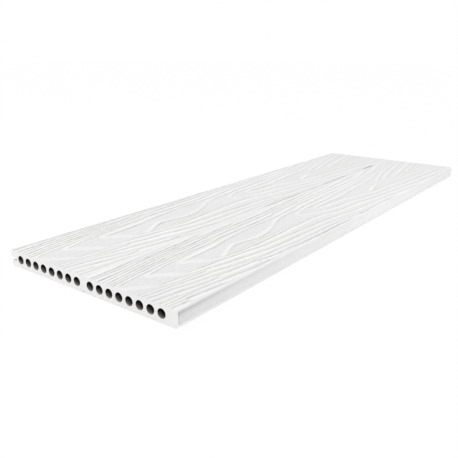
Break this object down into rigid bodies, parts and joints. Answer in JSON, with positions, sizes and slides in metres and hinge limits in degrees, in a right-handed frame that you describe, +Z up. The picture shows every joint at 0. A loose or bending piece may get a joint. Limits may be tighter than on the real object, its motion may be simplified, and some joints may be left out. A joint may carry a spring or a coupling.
{
  "type": "stair tread",
  "caption": "White wood-plastic composite stair tread: hollow extruded board with round channels, rounded nose, clip slot along the back edge and embossed wood grain on top.",
  "frame": {"origin": "middle of the footprint, on the underside", "axes": "+X along the length, -Y towards the nose (the front edge), +Y towards the slotted back edge, +Z up out of the walking face"},
  "size_m": [1, 0.32, 0.024],
  "materials": {
    "white_composite": "matt white, embossed wood grain on the walking face"
  },
  "bodies": {
    "root": {"tread_board": "white_composite"}
  },
  "joints": []
}
